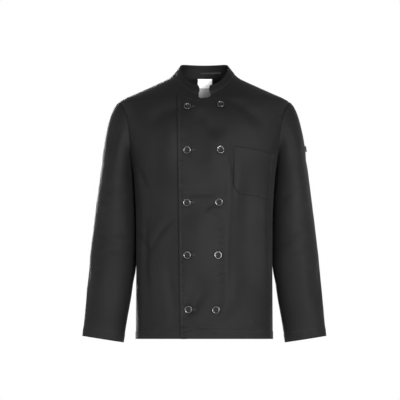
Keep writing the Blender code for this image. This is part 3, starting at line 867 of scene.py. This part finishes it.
def make_sleeve(name, hand, seed):
    cap = sleeve_cap()
    heights = np.linspace(SLEEVE["height"][0], SLEEVE["height"][-1], 112)
    rings = [nest(ring) for ring in cap + [sleeve_ring(height) for height in heights]]
    cuff = np.array([0.0] * len(cap) + list(heights - heights[-1]))
    from_seam = np.concatenate(([0.0], np.cumsum([
        float(np.mean(np.linalg.norm(b - a, axis=-1))) for a, b in zip(rings[:-1], rings[1:])])))
    points, cut = [], []
    run = 0.0
    for r, ring in enumerate(rings):
        before = rings[max(r - 1, 0)]
        after = rings[min(r + 1, len(rings) - 1)]
        round_ring = np.roll(ring, -1, axis=0) - np.roll(ring, 1, axis=0)
        normal = np.cross(round_ring, after - before)
        normal /= np.linalg.norm(normal, axis=-1, keepdims=True)
        off = sleeve_relief(ring, r, seed) + float(seam_roll(from_seam[r]))
        if r >= len(cap):
            off = off * float(0.3 + 0.7 * fade(cuff[r], 10.0, 60.0)) + hem_relief(cuff[r], 25.0)
        run += float(np.mean(np.linalg.norm(ring - before, axis=-1)))
        points.append(ring + normal * off[:, None])
        girth = np.linalg.norm(np.roll(ring, -1, axis=0) - ring, axis=-1)
        cut.append(np.stack([np.cumsum(girth), np.full(AROUND, -run)], -1))
    points = np.concatenate(points)
    points[:, 0] *= hand
    faces = grid_faces(len(rings), AROUND, flip=hand < 0, wrap=True)
    return cloth_piece(name, points, faces, np.concatenate(cut), CLOTH, BLACK_TWILL)


sleeve_left = keep(make_sleeve("left_sleeve", 1, 0.0), "twill", "sleeve_left")
sleeve_right = keep(make_sleeve("right_sleeve", -1, 9.0), "twill", "sleeve_right")
print("sleeve", round(cloth_area(sleeve_left), 3), "m2")

# %% [markdown]
# ## Patch pocket
# The pocket is a second layer of the same cloth on the upper front. It is made from the front's own
# points, moved out, with its mouth hemmed and its lower corners cut off.

# %% Pocket
POCKET_START = 80.0
POCKET_WIDTH = 124.0
POCKET_HEIGHT = 126.0
POCKET_TOP = 524.0
POCKET_SLOPE = 15.0
POCKET_CORNER = 19.0
POCKET_CLOTH = 1.3
POCKET_COLUMNS = 56
POCKET_ROWS = 60


def on_upper_front(along, height, off):
    """A point this far out from the inner face of the upper front."""
    total = off + float(front_relief(along, height)) + float(lift(along, height))
    return form(along, height, FRONT) + form_normal(along, height, FRONT) * total


def pocket_place(across, drop):
    """Pocket coordinates, both 0 to 1, to the front's own."""
    down = drop * POCKET_HEIGHT
    corner = max(0.0, down - (POCKET_HEIGHT - POCKET_CORNER))
    inset = POCKET_CORNER - math.sqrt(max(0.0, POCKET_CORNER ** 2 - corner ** 2)) if corner > 0 else 0.0
    inset = 0.5 * (inset + corner)
    along = inset + (POCKET_WIDTH - 2.0 * inset) * across
    return POCKET_START + along, POCKET_TOP - POCKET_SLOPE * along / POCKET_WIDTH - down, along, down


points, cut = [], []
for r in range(POCKET_ROWS + 1):
    for c in range(POCKET_COLUMNS + 1):
        along, height, over, down = pocket_place(c / POCKET_COLUMNS, r / POCKET_ROWS)
        near_edge = min(over, POCKET_WIDTH - over, POCKET_HEIGHT - down) if down > 8.0 else 30.0
        puff = 1.1 * float(fade(near_edge, 0.0, 22.0)) - 0.35 * math.exp(-((near_edge - 3.0) / 1.2) ** 2)
        mouth = -0.5 * math.exp(-((down - 11.0) / 1.3) ** 2) + 0.3 * (1.0 - float(fade(down, 8.0, 12.0)))
        sag = 1.3 * math.exp(-(down / 12.0) ** 2) * math.sin(math.pi * min(max(over / POCKET_WIDTH, 0.0), 1.0))
        stand = 1.2 * math.exp(-((over - 8.0) / 26.0) ** 2 - ((down - 104.0) / 34.0) ** 2)
        off = CLOTH + 0.6 + puff + mouth + sag + stand + float(ripple(over, down, 5.0, 17.0, 0.16))
        points.append(on_upper_front(along, height, off))
        cut.append((along, height))
pocket = cloth_piece(
    "chest_pocket", points, grid_faces(POCKET_ROWS + 1, POCKET_COLUMNS + 1, flip=True), cut, POCKET_CLOTH, BLACK_TWILL)
keep(pocket, "twill", "pocket")
print("pocket", round(cloth_area(pocket), 4), "m2")

# %% [markdown]
# ## Labels, loop and tab
# Small tapes, left bare: two inside the back of the neck, a hanging loop along the inside of the
# collar, and a folded end in the outer line of the left sleeve.

# %% Neck labels
LABELS = {
    # name: x from, x to, top, bottom, wall, off the cloth, slot, finish, node
    "neck_label": (-18.5, 22.5, 739.0, 714.5, 0.7, 0.5, "label_white", WHITE_TAPE, "label_main"),
    # the size label's grey is painted shade
    "size_label": (-15.5, 19.5, 713.0, 686.0, 0.6, 0.6, "label_grey", LABEL_SHADE_TAPE, "label_lower"),
}
for name, (left, right, top, bottom, wall, gap, slot_name, finish, node_name) in LABELS.items():
    points, cut = [], []
    steps_across, steps_down = 24, 16
    for height in np.linspace(top, bottom, steps_down + 1):
        for x in np.linspace(left, right, steps_across + 1):
            along = along_at_x(x, height, BACK)
            curl = 0.5 * math.sin((x - left) / (right - left) * math.pi)
            inward = gap + wall + curl + 0.8 * float(fade(top - height, 0.0, top - bottom))
            inward -= float(back_relief(along, height))
            points.append(form(along, height, BACK) - form_normal(along, height, BACK) * inward)
            cut.append((x, height))
    piece = cloth_piece(name, points, grid_faces(steps_down + 1, steps_across + 1), cut, wall, finish)
    keep(piece, slot_name, node_name)

# %% Hanging loop
LOOP_FROM, LOOP_TO = -11.0, 51.0
LOOP_RISE = (0.30, 0.44)
points, cut = [], []
loop_steps = 60
for k in range(5):
    rise = LOOP_RISE[0] + (LOOP_RISE[1] - LOOP_RISE[0]) * k / 4
    for x in np.linspace(LOOP_FROM, LOOP_TO, loop_steps + 1):
        turn = math.pi - math.asin(x / NECK_HALF_WIDTH)
        inward = 1.7 + 0.5 * math.sin((x - LOOP_FROM) / (LOOP_TO - LOOP_FROM) * math.pi)
        towards_neck = np.array([-x / NECK_HALF_WIDTH, -1.0, 0.0])
        towards_neck /= np.linalg.norm(towards_neck)
        points.append(collar_point(turn, rise) + inward * towards_neck)
        cut.append((x, k * 1.2))
loop = cloth_piece("hanging_loop", points, grid_faces(5, loop_steps + 1, flip=True), cut, 0.9, BLACK_TAPE)
keep(loop, "tape", "hanger_loop")

# %% Sleeve tab
tab_low, tab_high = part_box("sleeve_tab")
tab_middle = (tab_low + tab_high) * 0.5
bpy.ops.object.select_all(action="DESELECT")
bpy.ops.mesh.primitive_cube_add(size=1.0, location=tab_middle)
tab = bpy.context.active_object
tab.name = "folded_tab"
tab.scale = (3.6 * MM, 1.8 * MM, 17.0 * MM)
tab.rotation_euler = (0.0, -math.radians(9.5), 0.0)
bpy.ops.object.transform_apply(location=True, rotation=True, scale=True)
rounding = tab.modifiers.new("folded edge", "BEVEL")
rounding.width = 0.6 * MM
rounding.segments = 3
apply_modifiers(tab)
tab.data.shade_smooth()
tab.data.uv_layers[0].name = "cut"
tab.data.materials.append(BLACK_TAPE)
keep(tab, "tape", "sleeve_tab")

# %% [markdown]
# ## Buttons
# A jacket button is turned from resin: a raised rim round a shallow dish, with four holes. One is
# modelled from a cylinder by insets and extrusions, its holes are cut, and each place gets a copy.

# %% Resin
def resin(name, colour, roughness, gloss):
    made = bpy.data.materials.new(name)
    made.use_nodes = True
    tree = made.node_tree
    shader = tree.nodes["Principled BSDF"]
    shader.inputs["Specular IOR Level"].default_value = gloss
    shader.inputs["Coat Weight"].default_value = 0.03
    place = node(tree, "ShaderNodeTexCoord")
    swirl = node(tree, "ShaderNodeTexNoise")
    swirl.inputs["Scale"].default_value = 160.0
    swirl.inputs["Detail"].default_value = 4.0
    tree.links.new(place.outputs["Object"], swirl.inputs["Vector"])
    ramp = node(tree, "ShaderNodeValToRGB")
    ramp.color_ramp.elements[0].color = (*[0.8 * c for c in colour], 1.0)
    ramp.color_ramp.elements[1].color = (*[1.5 * c for c in colour], 1.0)
    tree.links.new(swirl.outputs["Fac"], ramp.inputs["Fac"])
    tree.links.new(ramp.outputs["Color"], shader.inputs["Base Color"])
    rough = math_node(tree, "ADD", math_node(tree, "MULTIPLY", swirl.outputs["Fac"], 0.12), roughness)
    tree.links.new(rough, shader.inputs["Roughness"])
    return made


RESIN = resin("black_resin", (0.009, 0.009, 0.0095), 0.16, 0.5)
# The dish gets a darker copy of the resin. Its matte finish is the button's own, but its darker colour is painted
# shade in the recess.
DISH_SHADE_RESIN = resin("black_resin_painted_dish_shade", (0.004, 0.004, 0.0045), 0.55, 0.06)
THREAD = twill("black_thread", (0.010, 0.010, 0.0105), (0.020, 0.020, 0.020), rib=0.4, roughness=0.6, sheen=0.05)

# %% One button
BUTTON_RADIUS = 10.5
BUTTON_HEIGHT = 3.6
HOLE_RADIUS = 1.0
HOLE_PLACE = 1.9
DISH_RADIUS = 6.6


def select_faces(mesh, test):
    for face in mesh.polygons:
        face.select = test(face)


def model_button():
    bpy.ops.object.select_all(action="DESELECT")
    bpy.ops.mesh.primitive_cylinder_add(
        vertices=64, radius=BUTTON_RADIUS * MM, depth=BUTTON_HEIGHT * MM, location=(0, 0, 0.5 * BUTTON_HEIGHT * MM))
    button = bpy.context.active_object
    bpy.ops.object.transform_apply(location=True, rotation=False, scale=False)
    mesh = button.data
    bpy.ops.object.mode_set(mode="EDIT")
    bpy.ops.mesh.select_mode(type="FACE")
    bpy.ops.mesh.select_all(action="DESELECT")
    bpy.ops.object.mode_set(mode="OBJECT")
    select_faces(mesh, lambda face: face.normal.z > 0.9)
    bpy.ops.object.mode_set(mode="EDIT")
    bpy.ops.mesh.inset(thickness=2.6 * MM)
    bpy.ops.mesh.inset(thickness=1.1 * MM)
    bpy.ops.transform.translate(value=(0, 0, -1.3 * MM))
    bpy.ops.mesh.inset(thickness=1.6 * MM)
    bpy.ops.transform.translate(value=(0, 0, -0.5 * MM))
    bpy.ops.mesh.inset(thickness=1.4 * MM)
    bpy.ops.mesh.select_all(action="DESELECT")
    bpy.ops.object.mode_set(mode="OBJECT")
    rounding = button.modifiers.new("rim", "BEVEL")
    rounding.width = 1.2 * MM
    rounding.segments = 4
    rounding.limit_method = "ANGLE"
    rounding.angle_limit = math.radians(35.0)
    apply_modifiers(button)
    for k in range(4):
        turn = math.radians(45.0 + 90.0 * k)
        bpy.ops.object.select_all(action="DESELECT")
        bpy.ops.mesh.primitive_cylinder_add(
            vertices=20, radius=HOLE_RADIUS * MM, depth=4.0 * BUTTON_HEIGHT * MM,
            location=(HOLE_PLACE * math.cos(turn) * MM, HOLE_PLACE * math.sin(turn) * MM, 0))
        drill = bpy.context.active_object
        hole = button.modifiers.new("hole", "BOOLEAN")
        hole.operation = "DIFFERENCE"
        hole.object = drill
        apply_modifiers(button)
        bpy.data.objects.remove(drill)
    mesh = button.data
    mesh.shade_smooth()
    mesh.set_sharp_from_angle(angle=math.radians(40.0))
    mesh.materials.append(RESIN)
    mesh.materials.append(DISH_SHADE_RESIN)
    # Faces inside the dish take the darker resin, which is painted shade.
    for face in mesh.polygons:
        face.material_index = int(math.hypot(face.center.x, face.center.y) < DISH_RADIUS * MM)
    return button


def model_thread():
    """Two bars of thread over the holes, and the wound shank under the button."""
    bars = []
    for side in (-1, 1):
        for strand in (-0.35, 0.35):
            bpy.ops.object.select_all(action="DESELECT")
            bpy.ops.mesh.primitive_cylinder_add(
                vertices=8, radius=0.36 * MM, depth=2.9 * MM, rotation=(0, 0.5 * math.pi, 0),
                location=(0, (side * HOLE_PLACE * math.sin(math.radians(45.0)) + strand) * MM, 2.0 * MM))
            bars.append(bpy.context.active_object)
            bpy.ops.object.transform_apply(location=True, rotation=True, scale=True)
    bpy.ops.mesh.primitive_cylinder_add(vertices=12, radius=1.5 * MM, depth=3.4 * MM, location=(0, 0, -0.9 * MM))
    bars.append(bpy.context.active_object)
    bpy.ops.object.transform_apply(location=True, rotation=True, scale=True)
    for bar in bars:
        bar.select_set(True)
    bpy.context.view_layer.objects.active = bars[0]
    bpy.ops.object.join()
    thread = bpy.context.active_object
    thread.data.shade_smooth()
    thread.data.uv_layers[0].name = "cut"
    thread.data.materials.append(THREAD)
    return thread


pattern_button = model_button()
pattern_thread = model_thread()
print("button", len(pattern_button.data.polygons), "faces")

# %% Buttons in their places
def button_place(node_name, spin):
    """Where a button sits: on its shank over the dent round its middle, a little askew."""
    along, height = button_spots[node_name]
    facing = Vector(form_normal(along, height, FRONT))
    facing = (facing + Vector((0.07 * math.sin(spin * 3.0), 0.0, 0.07 * math.cos(spin * 2.0)))).normalized()
    place = Vector(to_frame(on_upper_front(along, height, CLOTH + 2.3))[0])
    turned = facing.to_track_quat("Z", "Y").to_matrix().to_4x4() @ Matrix.Rotation(spin, 4, "Z")
    return Matrix.Translation(place) @ turned


for k, node_name in enumerate(BUTTONS):
    matrix = button_place(node_name, 0.35 + 1.1 * k)
    for pattern, start in ((pattern_button, "resin_button_"), (pattern_thread, "button_thread_")):
        copy = bpy.data.objects.new(node_name.replace("button_", start), pattern.data.copy())
        copy.data.transform(matrix)
        bpy.context.scene.collection.objects.link(copy)
        if pattern is pattern_button:
            keep(copy, "button", node_name)
        else:
            keep(copy, "twill")
for pattern in (pattern_button, pattern_thread):
    bpy.data.objects.remove(pattern)

# %% [markdown]
# ## Stitching
# A topstitch is a short length of thread lying in the cloth. One stitch is a low bead with two pointed
# ends; a row repeats it along a line. The line is first drawn a little off the cloth and then laid on
# it, by finding the nearest place of the finished mesh.

# %% Laying lines on cloth, and beads of thread
STITCH = 2.6               # length of a stitch
STITCH_PITCH = 3.3
STITCH_WIDTH = 0.6
STITCH_HEIGHT = 0.34
BEAD_ACROSS = (-0.5, -0.35, 0.0, 0.35, 0.5)
BEAD_UP = (-0.1, 0.8, 1.0, 0.8, -0.1)


def surface_of(piece):
    mesh = piece.data
    return BVHTree.FromPolygons([v.co for v in mesh.vertices], [f.vertices for f in mesh.polygons])


def laid_line(surface, points):
    """The nearest places of a surface to these points, with the outward direction there."""
    line = []
    for point in to_frame(points):
        place, normal, _, _ = surface.find_nearest(Vector(point))
        line.append((np.array(place) / MM + np.array([0.0, 0.0, NAPE]), np.array(normal)))
    return line


def stitches_on(line, pitch=STITCH_PITCH, length=STITCH):
    """Ends and outward direction of each stitch along a laid line."""
    points = np.array([p for p, _ in line])
    outs = np.array([o for _, o in line])
    run = np.concatenate(([0.0], np.cumsum(np.linalg.norm(np.diff(points, axis=0), axis=-1))))
    found = []
    for k in range(int(run[-1] / pitch)):
        at = (k + 0.5) * pitch
        ends = [np.array([np.interp(at + d, run, points[:, i]) for i in range(3)]) for d in (-0.5 * length, 0.5 * length)]
        out = np.array([np.interp(at, run, outs[:, i]) for i in range(3)])
        found.append((ends[0], ends[1], out / np.linalg.norm(out)))
    return found


def thread_beads(name, stitches, finish, width=STITCH_WIDTH, height=STITCH_HEIGHT):
    """All stitches of one row or more as a single mesh."""
    verts, faces, cut = [], [], []
    for first, last, out in stitches:
        ahead = (last - first) / np.linalg.norm(last - first)
        beside = np.cross(out, ahead)
        base = len(verts)
        verts.append(first - out * 0.15)
        for share in (0.28, 0.72):
            middle = first + (last - first) * share
            for across, up in zip(BEAD_ACROSS, BEAD_UP):
                verts.append(middle + beside * across * width + out * up * height)
        verts.append(last - out * 0.15)
        for i in range(5):
            j = (i + 1) % 5
            faces.append((base, base + 1 + j, base + 1 + i))
            faces.append((base + 1 + i, base + 1 + j, base + 6 + j, base + 6 + i))
            faces.append((base + 11, base + 6 + i, base + 6 + j))
        cut += [(0.0, 0.0)] + [(1.0 + i // 5, i % 5 * 0.2) for i in range(10)] + [(3.0, 1.0)]
    print(name, len(stitches), "stitches")
    return keep(cloth_piece(name, verts, faces, cut, 0.0, finish), "twill")


def spread(start, stop, step=2.0):
    return np.linspace(start, stop, max(2, int(abs(stop - start) / step) + 1))


# %% Rows on the fronts
OFF_CLOTH = 4.0            # how far off the cloth a line is first drawn


def front_line(surface, hand, places):
    points = []
    for along, row in places:
        height = lap_height(along, row, hand) if row > ARM_MIDDLE and along < LAP_JOIN + 60.0 else row
        total = CLOTH + OFF_CLOTH + (LAP_RAISE if hand == UPPER else 0.0)
        point = form(along, height, FRONT) + form_normal(along, height, FRONT) * total
        points.append(point * np.array([hand, 1, 1]))
    return laid_line(surface, points)


EDGE_TOP = SHOULDER_TIP - 4.5
TOP_STITCH = 4.0           # distance of the stitching from the lap's top edge
surface = surface_of(front_upper)
edge_places = [(free_edge(row, UPPER) + EDGE_STITCH, row) for row in spread(3.0, EDGE_TOP)]
top_places = [(along, SHOULDER_TIP - TOP_STITCH) for along in spread(free_edge(SHOULDER_TIP, UPPER) + 6.0, 15.0)]
hem_places = [(along, HEM) for along in spread(free_edge(HEM, UPPER) + 3.0, panel_side(HEM, FRONT) - 1.0)]
rows = [front_line(surface, UPPER, places) for places in (edge_places, top_places, hem_places)]
thread_beads("upper_front_stitches", [stitch for row in rows for stitch in stitches_on(row)], THREAD)

surface = surface_of(front_under)
hem_places = [(along, HEM) for along in spread(-UNDER_REACH + 3.0, panel_side(HEM, FRONT) - 1.0)]
thread_beads("under_front_stitches", stitches_on(front_line(surface, UNDER, hem_places)), THREAD)

# %% Rows on the back, the sleeves and the collar
surface = surface_of(back)
hem_end = panel_side(HEM, BACK) - 1.0
points = [form(a, HEM, BACK) + form_normal(a, HEM, BACK) * (CLOTH + OFF_CLOTH) for a in spread(-hem_end, hem_end)]
thread_beads("back_stitches", stitches_on(laid_line(surface, points)), THREAD)

CUFF_HEM = 25.0
for piece, hand in ((sleeve_left, 1), (sleeve_right, -1)):
    ring = sleeve_ring(CUFF_HEM)
    ring = np.vstack([ring, ring[:1]])
    middle = ring.mean(axis=0)
    points = (middle + (ring - middle) * 1.12) * np.array([hand, 1, 1])
    thread_beads(piece.name + "_stitches", stitches_on(laid_line(surface_of(piece), points)), THREAD)

surface = surface_of(collar)
rows = []
for rise in (0.09, 0.86):
    turns = np.linspace(end_turn + 0.02, 2.0 * math.pi - end_turn - 0.02, 260)
    points = [collar_point(turn, rise) + np.array([math.sin(turn), -math.cos(turn), 0.3]) * 6.0 for turn in turns]
    rows.append(laid_line(surface, points))
for side in (1, -1):
    points = []
    for rise in np.linspace(0.12, 0.84, 16):
        turn = end_turn + 0.035 - bulge * (1.0 - (2.0 * rise - 1.0) ** 2)
        turn = turn if side > 0 else 2.0 * math.pi - turn
        points.append(collar_point(turn, rise) + np.array([math.sin(turn), -math.cos(turn), 0.3]) * 6.0)
    rows.append(laid_line(surface, points))
thread_beads("collar_stitches", [stitch for row in rows for stitch in stitches_on(row)], THREAD)

# %% Rows on the pocket
surface = surface_of(pocket)
POCKET_EDGE_STITCH = 2.6
MOUTH_STITCH = 11.0


def pocket_line(places):
    return laid_line(surface, [on_upper_front(POCKET_START + a, POCKET_TOP - POCKET_SLOPE * a / POCKET_WIDTH - d, 9.0)
                               for a, d in places])


edge = POCKET_EDGE_STITCH
corner = POCKET_CORNER + edge * 0.4
outline = [(edge, 3.0), (edge, POCKET_HEIGHT - corner), (corner, POCKET_HEIGHT - edge),
           (POCKET_WIDTH - corner, POCKET_HEIGHT - edge), (POCKET_WIDTH - edge, POCKET_HEIGHT - corner),
           (POCKET_WIDTH - edge, 3.0)]
places = []
for (a0, d0), (a1, d1) in zip(outline[:-1], outline[1:]):
    steps = max(2, int(math.hypot(a1 - a0, d1 - d0) / 2.0))
    places += [(a0 + (a1 - a0) * t / steps, d0 + (d1 - d0) * t / steps) for t in range(steps)]
rows = [pocket_line(places), pocket_line([(a, MOUTH_STITCH) for a in spread(edge, POCKET_WIDTH - edge)])]
beads = [stitch for row in rows for stitch in stitches_on(row)]
for a in (1.6, POCKET_WIDTH - 1.6):
    for d in np.arange(1.0, 11.0, 0.8):
        bar = pocket_line([(a - 1.5, d), (a + 1.5, d)])
        beads.append((bar[0][0], bar[1][0], bar[0][1]))
thread_beads("pocket_stitches", beads, THREAD)

# %% [markdown]
# ## Buttonholes
# A buttonhole is cut after two close rows of thread are worked over it, with a bar across each end. It
# lies level, and runs on from under its button towards the middle of the front.

# %% Buttonholes
HOLE_FROM, HOLE_TO = -9.0, 19.0
HOLE_LIP = 1.25
surface = surface_of(front_upper)
beads = []


def worked_bar(along, low, high):
    points = [on_upper_front(along, height, CLOTH + OFF_CLOTH) for height in (low, high)]
    (first, out), (last, _) = laid_line(surface, points)
    beads.append((first, last, out))


for along, height in fastened_spots:
    for at in np.arange(HOLE_FROM, HOLE_TO, 0.8):
        worked_bar(along + at, height + 0.15, height + 2.0 * HOLE_LIP)
        worked_bar(along + at, height - 2.0 * HOLE_LIP, height - 0.15)
    for at in (HOLE_FROM - 0.8, HOLE_FROM - 0.2, HOLE_TO, HOLE_TO + 0.6):
        worked_bar(along + at, height - 3.0, height + 3.0)
thread_beads("buttonholes", beads, THREAD, width=0.75, height=0.45)

# %% [markdown]

# %% [markdown]
# ## Floor
# The jacket hangs where a standing wearer would hold it, with a pale round floor well below the hem.

# %% Stage
FLOOR_HEIGHT = -1.62
bpy.ops.object.select_all(action="DESELECT")
bpy.ops.mesh.primitive_circle_add(vertices=96, radius=2.6, fill_type="NGON", location=(0.0, 0.0, FLOOR_HEIGHT))
floor = bpy.context.active_object
floor.name = "floor"
bpy.ops.object.transform_apply(location=True, rotation=False, scale=False)
paper = bpy.data.materials.new("pale_floor")
paper.use_nodes = True
grain = node(paper.node_tree, "ShaderNodeTexNoise")
grain.inputs["Scale"].default_value = 40.0
grain_ramp = node(paper.node_tree, "ShaderNodeValToRGB")
grain_ramp.color_ramp.elements[0].color = (0.80, 0.80, 0.80, 1.0)
grain_ramp.color_ramp.elements[1].color = (0.90, 0.90, 0.90, 1.0)
paper.node_tree.links.new(grain.outputs["Fac"], grain_ramp.inputs["Fac"])
floor_shader = paper.node_tree.nodes["Principled BSDF"]
paper.node_tree.links.new(grain_ramp.outputs["Color"], floor_shader.inputs["Base Color"])
floor_shader.inputs["Roughness"].default_value = 0.9
floor.data.materials.append(paper)
